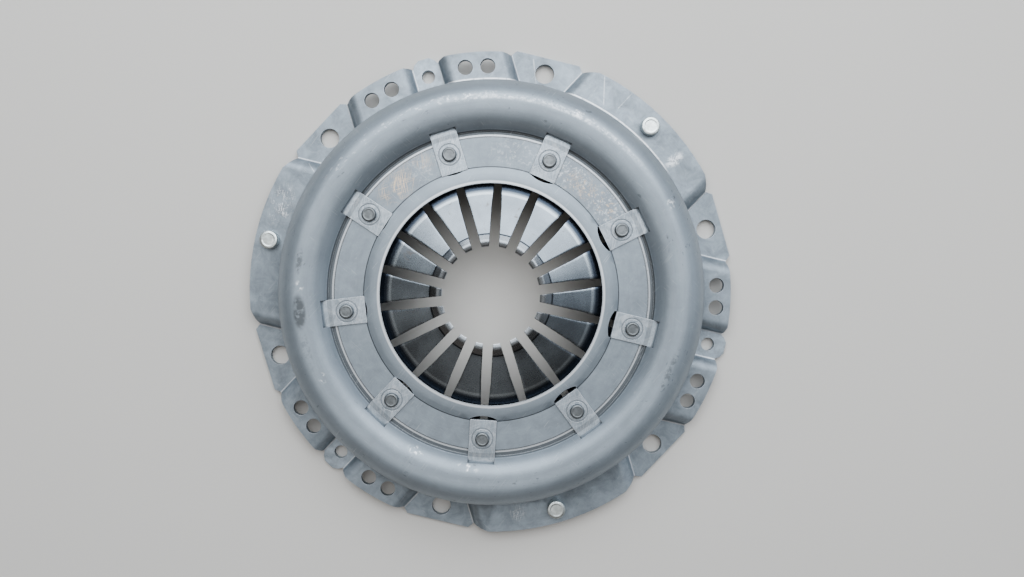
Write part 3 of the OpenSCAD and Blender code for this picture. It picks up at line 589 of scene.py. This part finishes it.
def cover_finish(look):
    """Satin grey steel pressing with drawing marks, scratches, press marks and smudges, painted shade in its folds and
    crevices, and painted highlights on its crown, bends, mouth and web.
    """
    f = CoverFinish(look)
    tab = f.tab
    lines, gouges = long_scratches(f), rubbed_places(f)
    # painted highlights along the skirt's foot and the flange's bends
    foot, bend = step_highlights(f)
    sparkle, amber = web_glints(f)
    worn = f.times(f.rough_edges(), f.range(f.free, 0.7, 0.95))
    scuffs = f.times(tab, f.strongest((f.range(f.noise(240, 3, 0.6, warp=0.8), 0.52, 0.66), 1), (f.strokes, 0.9)))
    shiny_groove = f.times(f.ring(0.0708, 0.0714, 0.0002), f.low)
    # the dark layer: smudges and rubbed marks, with painted shade in the folds, in crevices and on the mouth's cut
    # face
    dark = f.times(look.grime_and_shade, f.largest(cover_smudges(f), painted_fold_shade(f), f.strongest(
        (f.range(f.radius, 0.0500, 0.0498), 0.85), (f.range(f.free, 0.60, 0.30), 0.7))))
    # bare steel in scratches, rubbed places and worn edges, with painted highlights on the crown, the skirt's foot,
    # the flange's bends and the web's grains
    bare = f.strongest(
        (lines, 0.22), (worn, f.add(f.times(tab, 0.35), 0.55)), (gouges, 0.85), (crown_specks_and_highlight(f), 0.9),
        (foot, 0.95), (bend, 0.9), (single_scratches(f), 1), (sparkle, 0.55))

    shade = f.add(cover_tone(f), 1.0)
    base = f.mix(1.0, look.cover, f.node("ShaderNodeCombineColor", {k: shade for k in range(3)}), "MULTIPLY")
    # the thin ring just outside the mouth is a painted highlight on the mouth's edge
    base = f.over(
        base, (f.strongest((shiny_groove, 0.5), (f.ring(0.0502, 0.0509, 0.0003), 0.7), (scuffs, 0.35)), 1, look.bare),
        (dark, 1, look.cover_dark), (bare, 1, look.bare), (amber, 0.6, look.copper),
        (warm_scratches(f), 0.75, look.copper))
    rough = f.add(f.centred(f.grain, 0.18), f.centred(f.rings, 0.10), ROUGHNESS, f.weighted(
        (dark, 0.15), (lines, -0.05), (gouges, -0.12), (f.flange, 0.04), (shiny_groove, -0.14), (tab, -0.04)))
    height = f.weighted((f.grain, 0.25), (f.rings, 0.10), (lines, -0.3), (gouges, 2.0),
                        (f.times(f.add(tab, f.pad), f.spots), 1.6))
    soft = f.node("ShaderNodeBevel", {"Radius": 0.0003}, samples=4)
    return f.finish(base, rough, f.bump(height, 0.5, 0.00008, soft), f.add(f.times(f.skirt, SKIRT_METALLIC), METALLIC))


def spring_finish(look):
    """Blued spring steel: glossy and dark, mottled, with painted light and shade on the fingertips, and a dark band
    beside the mouth that is partly painted shadow, edged by a painted reflection.
    """
    f = Finish("blued_spring", metallic=1.0)
    radius = f.polar_place()[0]
    speck = f.noise(1500, 3, 0.7)
    cloud = f.noise(70, 3, 0.6)
    stain = f.range(f.noise(150, 4, 0.65, warp=1.0), 0.62, 0.74)
    rolled = f.noise(1, 2, 0.5, f.stretched(0.35, 0.02, 0.0006))
    # Painted light and shade: a highlight on the fingertips' ends, shade in each finger's bend, a reflection of the
    # lip's edge, and a dark band beside the mouth that is partly the lip's shadow
    tip_highlight = f.range(radius, 0.0221, 0.0217)
    kink_shade = f.window(radius, 0.0271, 0.0275, 0.0002)
    band = f.range(radius, 0.0461, 0.0475)
    lip_reflection_line = f.window(radius, 0.0452, 0.0458, 0.0005)
    base = f.mix(f.range(cloud, 0.3, 0.7), tuple(0.88 * c for c in look.spring), tuple(1.15 * c for c in look.spring))
    base = f.over(
        base, (stain, 0.5, (0.15, 0.12, 0.10)), (f.range(speck, 0.60, 0.72), 0.10, (0.55, 0.58, 0.60)),
        # the lighter ring inside the finger's bend and the darker ring beyond the crest are painted light and shade on
        # the fingertips' hump
        (kink_shade, 0.92, (0.012, 0.014, 0.018)), (f.range(radius, 0.0272, 0.0266), 0.5, (0.30, 0.31, 0.32)),
        (f.range(radius, 0.0245, 0.0238), 0.55, (0.10, 0.105, 0.11)), (tip_highlight, 0.5, look.bare),
        (lip_reflection_line, 0.35, (0.6, 0.66, 0.70)), (band, 0.85, look.spring_band_and_shadow))
    rough = f.add(0.27, f.centred(speck, 0.16), f.centred(cloud, 0.10), f.times(stain, 0.15), f.times(tip_highlight, 0.15))
    height = f.weighted((speck, 0.4), (rolled, 0.2))
    return f.finish(base, rough, f.bump(height, 0.12, 0.00005))


def plated_finish(name, base_colour, rough_at, tint, place_scale=1800, edge=0.3):
    """Small turned or headed steel parts: fine grain, painted shade in the hollows, brighter edges."""
    f = Finish(name, metallic=0.95)
    grain = f.noise(place_scale, 3.0, 0.6)
    cloud = f.noise(260, 3, 0.6)
    worn = f.rough_edges(0.0004)
    # painted shade in the hollows and corners
    hollow_shade = f.range(f.open_air(0.002), 0.7, 0.4)
    darker, lighter = tuple(0.8 * c for c in base_colour), tuple(min(1, 1.12 * c) for c in base_colour)
    base = f.mix(f.range(cloud, 0.35, 0.65), darker, lighter)
    base = f.over(base, (f.range(grain, 0.55, 0.7), 0.4, tint), (worn, edge, (0.85, 0.86, 0.87)),
                  (hollow_shade, 0.7, (0.05, 0.05, 0.05)))
    rough = f.add(rough_at, f.centred(grain, 0.25), f.centred(cloud, 0.15))
    return f.finish(base, rough, f.bump(grain, 0.4, 0.00006))


def iron_finish(look):
    """Turned grey iron: fine rings from the tool on the machined faces, speckled cast skin elsewhere."""
    f = Finish("turned_iron", metallic=0.8)
    radius, turn, z = f.polar_place()
    rings = f.noise(1, 1, 0.5, f.node("ShaderNodeCombineXYZ", {0: f.times(radius, 3200), 1: turn, 2: 0.0}))
    speck = f.noise(900, 4, 0.7)
    machined = f.range(z, 0.0054, 0.0048)
    base = f.mix(f.range(speck, 0.3, 0.7), tuple(0.7 * c for c in look.iron), tuple(1.2 * c for c in look.iron))
    base = f.mix(f.times(machined, 0.6), base, (0.50, 0.49, 0.48))
    rough = f.add(0.55, f.times(machined, -0.17), f.centred(rings, 0.2))
    height = f.add(f.times(rings, f.times(machined, 0.8)), f.times(speck, f.range(machined, 0.0, 1.0, 0.9, 0.1)))
    return f.finish(base, rough, f.bump(height, 0.5, 0.0001))


def strip_finish(look):
    """Satin spring strip with rolling lines along it."""
    f = Finish("spring_strip", metallic=1.0)
    rolled = f.noise(1, 3, 0.6, f.stretched(1.0, 0.03, 0.0005))
    cloud = f.noise(130, 3, 0.6)
    base = f.mix(f.range(cloud, 0.35, 0.65), tuple(0.75 * c for c in look.strip), tuple(1.15 * c for c in look.strip))
    rough = f.add(0.34, f.centred(rolled, 0.25))
    return f.finish(base, rough, f.bump(rolled, 0.4, 0.00004))


def floor_finish(stage):
    """Plain pale matt floor with the faintest cloudiness."""
    f = Finish("pale_floor")
    cloud = f.noise(6, 2, 0.5)
    base = f.mix(f.range(cloud, 0.3, 0.7), tuple(0.985 * c for c in stage.floor), tuple(stage.floor))
    return f.finish(base, 0.75)


# -------------------- pieces


class PieceOperator:
    """Settings that every operator here shares."""

    bl_options = {"REGISTER", "UNDO"}

    def dress(self, material, *nodes):
        for node in nodes:
            if not NODES[node].material_slots:
                NODES[node].data.materials.append(material)
            for slot in NODES[node].material_slots:
                slot.material = material


class CLUTCH_OT_cover(PieceOperator, bpy.types.Operator):
    """Makes the pressed steel cover with smooth bends and its worn satin finish"""

    bl_idname = "clutch.cover"
    bl_label = "Cover"

    def execute(self, context):
        steel = cover_finish(context.scene.clutch_finishes)
        self.dress(steel, "cover")
        cover = smooth_copy("cover", "cover_pressing", steel, math.radians(32), soften_lip, lean_crown)
        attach(cover, COVER_BODY)
        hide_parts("cover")
        return {"FINISHED"}


class CLUTCH_OT_spring(PieceOperator, bpy.types.Operator):
    """Makes the slotted diaphragm spring with its bent fingers and rounded edges"""

    bl_idname = "clutch.spring"
    bl_label = "Diaphragm spring"

    def slot_half(self, s, radius):
        """Half the width of a slot at a radius, its window included; 0 beyond the window."""
        wide, narrow = s.tip_slot / 2, s.root_slot / 2
        reach = s.eye_width / 2
        middle = (s.eye_length - s.eye_width) / 2
        part = min(1, max(0, (radius - s.slot_wide) / (s.slot_narrow - s.slot_wide)))
        plain = wide + (narrow - wide) * part
        off = max(0, abs(radius - s.eye_radius) - middle)
        eye = math.sqrt(max(0, reach**2 - off**2)) if off < reach else 0
        if radius > s.eye_radius:
            return eye
        return max(plain, eye)

    def profile(self, s):
        """Points of the front face from tip to rim, as (radius, z), with rows where the slots change."""
        def top(radius):
            return s.ring_top + (s.ring_radius - radius) * math.tan(s.cone)

        crest = top(s.kink_radius) + s.crest_rise
        line = rounded_line([
            (s.tip_radius, crest - s.tip_drop, 0), (s.crest_radius, crest, 0.003),
            (s.kink_radius, top(s.kink_radius), 0.0016), (s.rim_radius, top(s.rim_radius), 0),
        ])
        bent_to = line[-2].x
        middle, reach = (s.eye_length - s.eye_width) / 2, s.eye_width / 2
        rows = [s.eye_radius, s.rim_radius - 0.009, s.rim_radius - 0.0045]
        rows += [bent_to + (s.slot_wide - bent_to) * i / 6 for i in range(1, 7)]
        rows += [s.slot_wide + (s.slot_narrow - s.slot_wide) * i / 6 for i in range(1, 7)]
        rows += [s.slot_narrow + i * 0.0025 for i in range(1, 5)]
        for i in range(10):
            swing = reach * math.sin(math.radians(10 * i))
            rows += [s.eye_radius - middle - swing, s.eye_radius + middle + swing]
        rows = sorted(set(round(r, 7) for r in rows if bent_to < r < s.rim_radius))
        return line[:-1] + [Vector((r, top(r))) for r in rows] + [line[-1]]

    def execute(self, context):
        s = context.scene.clutch_spring
        front = self.profile(s)
        back = []
        for k, point in enumerate(front):
            along = (front[min(k + 1, len(front) - 1)] - front[max(k - 1, 0)]).normalized()
            back.append(point - Vector((-along.y, along.x)) * s.thickness)
        eye_end = s.eye_radius + s.eye_length / 2
        columns = 10
        pitch = 2 * math.pi / s.fingers
        bm = bmesh.new()
        for finger in range(s.fingers):
            start = s.first_slot + pitch * finger
            grids = []
            for line in (front, back):
                grid = []
                for k, point in enumerate(line):
                    half = self.slot_half(s, front[k].x) if front[k].x < eye_end - 1e-6 else 0
                    lean = math.asin(half / point.x)
                    grid.append([
                        bm.verts.new(polar(start + lean + (pitch - 2 * lean) * c / columns, point.x, point.y))
                        for c in range(columns + 1)
                    ])
                grids.append(grid)
            top, under = grids
            for k in range(len(front) - 1):
                for c in range(columns):
                    bm.faces.new((top[k][c], top[k + 1][c], top[k + 1][c + 1], top[k][c + 1]))
                    bm.faces.new((under[k][c], under[k][c + 1], under[k + 1][c + 1], under[k + 1][c]))
                if front[k].x < eye_end - 1e-6:
                    for c in (0, columns):
                        bm.faces.new((top[k][c], top[k + 1][c], under[k + 1][c], under[k][c]))
            for k in (0, len(front) - 1):
                for c in range(columns):
                    bm.faces.new((top[k][c], top[k][c + 1], under[k][c + 1], under[k][c]))
        spring = finished_object("spring_disc", bm, spring_finish(context.scene.clutch_finishes), bevel=0.00016)
        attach(spring, COVER_BODY)
        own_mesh(spring)
        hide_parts("diaphragm_spring")
        return {"FINISHED"}


class CLUTCH_OT_straps(PieceOperator, bpy.types.Operator):
    """Makes the three packs of spring strip leaves that drive the plate"""

    bl_idname = "clutch.straps"
    bl_label = "Drive straps"

    def execute(self, context):
        s = context.scene.clutch_straps
        strip = strip_finish(context.scene.clutch_finishes)
        begin = Vector((s.outer_radius, 0, 0))
        finish = polar(-s.turn, s.inner_radius)
        long = (finish - begin).length
        along = (finish - begin) / long
        aside = Vector((-along.y, along.x, 0))
        half = s.width / 2
        step_from, step_to = long - s.step_start, long - s.step_end
        narrowest = 0.0002
        rises = rounded_line([(-half, s.high, 0), (step_from, s.high, 0.003), (step_to, s.low, 0.003),
                              (long + half, s.low, 0)])
        stations = sorted({round(p.x, 7) for p in rises}
                          | {round(-half * math.cos(math.radians(15 * i)), 7) for i in range(7)}
                          | {round(long + half * math.sin(math.radians(15 * i)), 7) for i in range(7)}
                          | {round(0.0025 * i, 7) for i in range(1, 15)})

        def height(at):
            for a, b in zip(rises, rises[1:]):
                if a.x <= at <= b.x:
                    return a.y + (b.y - a.y) * (at - a.x) / max(1e-9, b.x - a.x)
            return rises[-1].y if at > rises[-1].x else rises[0].y

        def far_side(at):
            """How far aside of the straps' middle line the skirt's clearance lies."""
            middle = begin + along * at
            across = middle.dot(aside)
            return math.sqrt(s.inside**2 - middle.length_squared + across**2) - across

        def width_at(at):
            over = max(-at, at - long, 0)
            return math.sqrt(max(0, half**2 - over**2))

        for number in range(3):
            bm = bmesh.new()
            for leaf in range(3):
                rows = []
                for at in stations:
                    near = far = max(width_at(at), narrowest)
                    if at > step_from - s.neck:
                        lean = min(1, (at - step_from + s.neck) / s.neck)
                        far = min(far, half + (far_side(step_from) - half) * lean)
                    if at > step_from:
                        far = min(far, far_side(at))
                    top = height(at) - leaf * (s.leaf + s.gap)
                    rows.append([
                        bm.verts.new((begin + along * at + aside * (-near + (near + far) * c / 4)
                                      + Vector((0, 0, level))))
                        for level in (top, top - s.leaf + 2 * s.gap) for c in range(5)
                    ])
                for a, b in zip(rows, rows[1:]):
                    for c in range(4):
                        bm.faces.new((a[c], b[c], b[c + 1], a[c + 1]))
                        bm.faces.new((a[c + 5], a[c + 6], b[c + 6], b[c + 5]))
                    bm.faces.new((a[0], a[5], b[5], b[0]))
                    bm.faces.new((a[4], b[4], b[9], a[9]))
                for row in (rows[0], rows[-1]):
                    for c in range(4):
                        bm.faces.new((row[c], row[c + 1], row[c + 6], row[c + 5]))
            turn = s.first + math.radians(120) * number
            bmesh.ops.rotate(bm, verts=bm.verts, cent=(0, 0, 0), matrix=rotation(turn))
            piece = finished_object(f"strap_pack_{number + 1}", bm, strip)

            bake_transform(piece)
            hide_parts(*(f"strap_{number + 1}_leaf_{leaf}" for leaf in "abc"))
        return {"FINISHED"}


def rotation(turn):
    return Matrix.Rotation(turn, 3, "Z")


# Rivets that show, in millimetres: foot radius and top, shank radius, height of the head's seat, rim radius of its top
FULCRUM_RIVET = 5.2, 14.793, 2.5, 27, 2.4
STRAP_RIVET = 4.3, 4.2, 3, 8.5, 3.1


def headed_rivet(name, material, place, foot, shank, head, hammered):
    """A rivet from its turned profile. foot is (radius, bottom, top), head is (radius, bottom, top, rim radius)."""
    foot_r, foot_low, foot_top = foot
    head_r, head_low, head_top, rim = head
    line = rounded_line([
        (0, foot_low + 0.0002, 0), (foot_r * 0.6, foot_low, 0.001), (foot_r, foot_low, 0.0005),
        (foot_r, foot_top, 0.0002),
        (shank, foot_top, 0), (shank, head_low, 0), (head_r, head_low, 0.0002), (head_r, head_top - 0.0002, 0.0006),
        (rim, head_top, 0.0003), (rim * 0.82, head_top - 0.00012, 0.0003), (0, head_top, 0),
    ], math.radians(15))
    bm = bmesh.new()
    lathe(bm, [(max(0, p.x), p.y) for p in line], 48)
    for vertex in bm.verts:
        if vertex.co.z > head_top - 0.0012:
            lift = noise.noise((vertex.co + place * 7) * 900)
            vertex.co.z -= hammered * abs(lift)
    bmesh.ops.translate(bm, verts=bm.verts, vec=place)
    return finished_object(name, bm, material, math.radians(60))


class CLUTCH_OT_rivets(PieceOperator, bpy.types.Operator):
    """Makes the nine fulcrum rivets and the three strap rivets in the flange"""

    bl_idname = "clutch.rivets"
    bl_label = "Rivets that show"

    def execute(self, context):
        s, straps, look = context.scene.clutch_rivets, context.scene.clutch_straps, context.scene.clutch_finishes
        dull = plated_finish("rivet_steel", tuple(look.rivet), 0.46, (0.13, 0.13, 0.13), 1100, 0.08)
        bright = plated_finish("zinc_plate", tuple(look.zinc), 0.34, (0.50, 0.55, 0.55), 1500, 0.12)
        foot_r, foot_top, shank, seat, rim = (value * MM for value in FULCRUM_RIVET)
        for k in range(9):
            node = f"fulcrum_rivet_{k + 1}"
            low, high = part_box(node)
            place = polar(s.first_fulcrum + math.radians(40) * k, s.fulcrum_circle)
            rivet = headed_rivet(f"fulcrum_pin_{k + 1}", dull, place, (foot_r, low.z, foot_top), shank,
                                 (s.fulcrum_head / 2, seat, high.z, rim), s.hammered)
            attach(rivet, COVER_BODY)
            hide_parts(node)
        foot_r, foot_top, shank, seat, rim = (value * MM for value in STRAP_RIVET)
        for k in range(3):
            node = f"strap_flange_rivet_{k + 1}"
            low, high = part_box(node)
            place = polar(straps.first + math.radians(120) * k, straps.outer_radius)
            rivet = headed_rivet(f"strap_pin_{k + 1}", bright, place, (foot_r, low.z, foot_top), shank,
                                 (s.strap_head / 2, seat, high.z, rim), s.hammered)
            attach(rivet, COVER_BODY)
            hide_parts(node)
        return {"FINISHED"}


class CLUTCH_OT_inner_parts(PieceOperator, bpy.types.Operator):
    """Gives the pressure plate, rings, clips and lug rivets their finishes"""

    bl_idname = "clutch.inner_parts"
    bl_label = "Plate, rings and clips"

    def execute(self, context):
        look = context.scene.clutch_finishes
        self.dress(iron_finish(look), "pressure_plate")
        wire = plated_finish("ring_wire", (0.45, 0.46, 0.47), 0.3, (0.2, 0.2, 0.2))
        clip = plated_finish("clip_steel", (0.33, 0.34, 0.36), 0.4, (0.15, 0.15, 0.15))
        self.dress(wire, "fulcrum_ring_front", "fulcrum_ring_rear", *(f"strap_lug_rivet_{k}" for k in (1, 2, 3)))
        self.dress(clip, *(f"retractor_clip_{k}" for k in (1, 2, 3)))
        return {"FINISHED"}


# Light around the part along LIGHT_ACROSS, from the lower left of the picture (0) to its upper right (1)
LIGHT_ACROSS = (0.45, 0.893, 0)
SURROUNDINGS = (
    (0.0, (0.270, 0.235, 0.210)), (0.16, (0.180, 0.162, 0.150)), (0.27, (0.070, 0.063, 0.058)),
    (0.43, (0.165, 0.159, 0.153)), (0.57, (0.40, 0.42, 0.45)), (0.78, (0.52, 0.57, 0.64)), (0.98, (0.60, 0.65, 0.72)),
)
FLOOR_DROP = 0.2 * MM
CAMERA_PLACE = (0.00903, 0.01906, 0.38424)
CAMERA_TURN = (-2.587, -0.055, -0.067)  # degrees about X, Y and Z


class CLUTCH_OT_stage(PieceOperator, bpy.types.Operator):
    """Lays the floor, hangs the lights and places the camera"""

    bl_idname = "clutch.stage"
    bl_label = "Stage"

    def soft_light(self, name, place, size, power, tint=(1, 1, 1)):
        light = bpy.data.lights.new(name, "AREA")
        light.shape = "RECTANGLE"
        light.size, light.size_y = size
        light.energy = power
        light.color = tint
        lamp = bpy.data.objects.new(name, light)
        lamp.location = place
        lamp.rotation_euler = (-Vector(place)).to_track_quat("-Z", "Y").to_euler()
        bpy.context.scene.collection.objects.link(lamp)

    def execute(self, context):
        stage = context.scene.clutch_stage
        side = stage.floor_size / 2
        bm = bmesh.new()
        bmesh.ops.create_grid(bm, x_segments=1, y_segments=1, size=side)
        bmesh.ops.translate(bm, verts=bm.verts, vec=(0, 0, -FLOOR_DROP))
        floor = finished_object("floor", bm, floor_finish(stage))
        self.soft_light("key", (0.06, 0.50, 0.78), (1.1, 0.8), stage.key, (0.94, 0.975, 1))
        self.soft_light("front", (-0.2, -0.22, 1.25), (1.1, 0.8), stage.fill, (1, 0.985, 0.96))
        world = bpy.data.worlds.new("studio")
        context.scene.world = world
        world.use_nodes = True
        tree = world.node_tree
        across = tree.nodes.new("ShaderNodeVectorMath")
        across.operation = "DOT_PRODUCT"
        across.inputs[1].default_value = LIGHT_ACROSS
        moved = tree.nodes.new("ShaderNodeMapRange")
        moved.inputs[1].default_value = -1
        ramp = tree.nodes.new("ShaderNodeValToRGB")
        while len(ramp.color_ramp.elements) < len(SURROUNDINGS):
            ramp.color_ramp.elements.new(0.5)
        for stop, (place, tint) in zip(ramp.color_ramp.elements, SURROUNDINGS):
            stop.position = place
            stop.color = (*tint, 1)
        tree.links.new(tree.nodes.new("ShaderNodeTexCoord").outputs["Generated"], across.inputs[0])
        tree.links.new(across.outputs[1], moved.inputs[0])
        tree.links.new(moved.outputs[0], ramp.inputs[0])
        tree.links.new(ramp.outputs[0], tree.nodes["Background"].inputs[0])
        lens = bpy.data.cameras.new("camera")
        lens.lens = stage.lens
        lens.sensor_width = 36
        lens.clip_start = 0.01
        camera = bpy.data.objects.new("camera", lens)
        camera.location = CAMERA_PLACE
        camera.rotation_euler = tuple(math.radians(a) for a in CAMERA_TURN)
        context.scene.collection.objects.link(camera)
        context.scene.camera = camera
        context.scene.view_settings.look = "AgX - Medium High Contrast"
        return {"FINISHED"}


class CLUTCH_PT_pieces(bpy.types.Panel):
    """Lists the operators that make the clutch pressure plate"""

    bl_label = "Clutch plate"
    bl_idname = "CLUTCH_PT_pieces"
    bl_space_type = "VIEW_3D"
    bl_region_type = "UI"
    bl_category = "Clutch plate"

    def draw(self, context):
        for operator in OPERATORS:
            self.layout.operator(operator.bl_idname)
        for settings in SETTINGS:
            box = self.layout.box()
            group = getattr(context.scene, settings)
            for name in group.__annotations__:
                box.prop(group, name)


SETTINGS = {
    "clutch_spring": SpringSizes,
    "clutch_straps": StrapSizes,
    "clutch_rivets": RivetSizes,
    "clutch_finishes": Finishes,
    "clutch_stage": StageSettings,
}
OPERATORS = (CLUTCH_OT_cover, CLUTCH_OT_spring, CLUTCH_OT_straps, CLUTCH_OT_rivets, CLUTCH_OT_inner_parts,
             CLUTCH_OT_stage)


def register():
    for kind in (*SETTINGS.values(), *OPERATORS, CLUTCH_PT_pieces):
        bpy.utils.register_class(kind)
    for name, kind in SETTINGS.items():
        setattr(bpy.types.Scene, name, bpy.props.PointerProperty(type=kind))


def unregister():
    for name in SETTINGS:
        delattr(bpy.types.Scene, name)
    for kind in (CLUTCH_PT_pieces, *reversed(OPERATORS), *reversed(SETTINGS.values())):
        bpy.utils.unregister_class(kind)


def main():
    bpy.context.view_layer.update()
    register()
    for operator in OPERATORS:
        group, action = operator.bl_idname.split(".")
        getattr(getattr(bpy.ops, group), action)()


if __name__ == "__main__":
    main()
